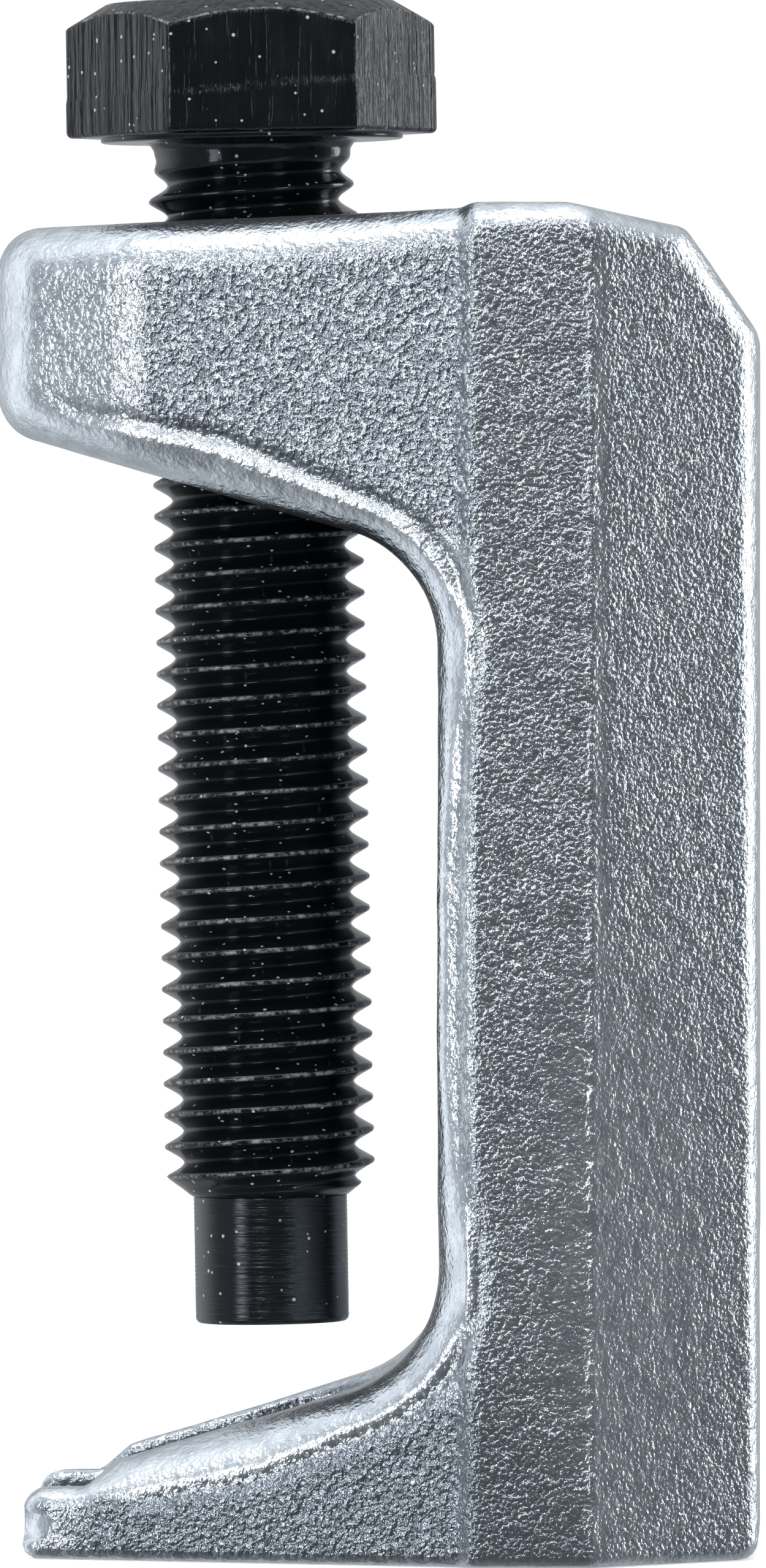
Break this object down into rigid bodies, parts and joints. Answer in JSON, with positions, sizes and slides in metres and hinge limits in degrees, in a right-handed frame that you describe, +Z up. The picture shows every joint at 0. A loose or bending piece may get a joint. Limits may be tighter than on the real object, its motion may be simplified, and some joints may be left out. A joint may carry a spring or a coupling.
{
  "type": "screw clamp with forked foot",
  "caption": "C-shaped forged clamp frame with a forked foot and a hex-headed pressure screw that threads down through its arm towards the fork.",
  "frame": {"origin": "on the plane that the foot stands on, under the middle of the part's length and width", "axes": "+Z up along the spine, +X from the nose and the fork's tip towards the spine, +Y across the width"},
  "size_m": [0.051, 0.0446, 0.1041],
  "materials": {
    "zinc_plated_steel": "bright zinc plate over a rough forged skin",
    "black_oxide_steel": "satin black oxide"
  },
  "bodies": {
    "frame": {"c_frame": "zinc_plated_steel"},
    "screw_travel": {"screw_dog_point": "black_oxide_steel"},
    "screw": {"pressure_screw": "black_oxide_steel"}
  },
  "joints": [
    {"name": "screw_advance", "type": "slide", "parent": "frame", "child": "screw_travel", "axis": [-0.0175, 0, 0.9998], "range_m": [-0.0052, 0.05]},
    {"name": "screw_turn", "type": "hinge", "parent": "screw_travel", "child": "screw", "pos_m": [-0.0083, 0, 0.08], "axis": [-0.0175, 0, 0.9998], "range_deg": [-885, 8505]}
  ],
  "couplings": [
    {"joint": "screw_turn", "follows": "screw_advance", "rad_per_m": 2968}
  ]
}
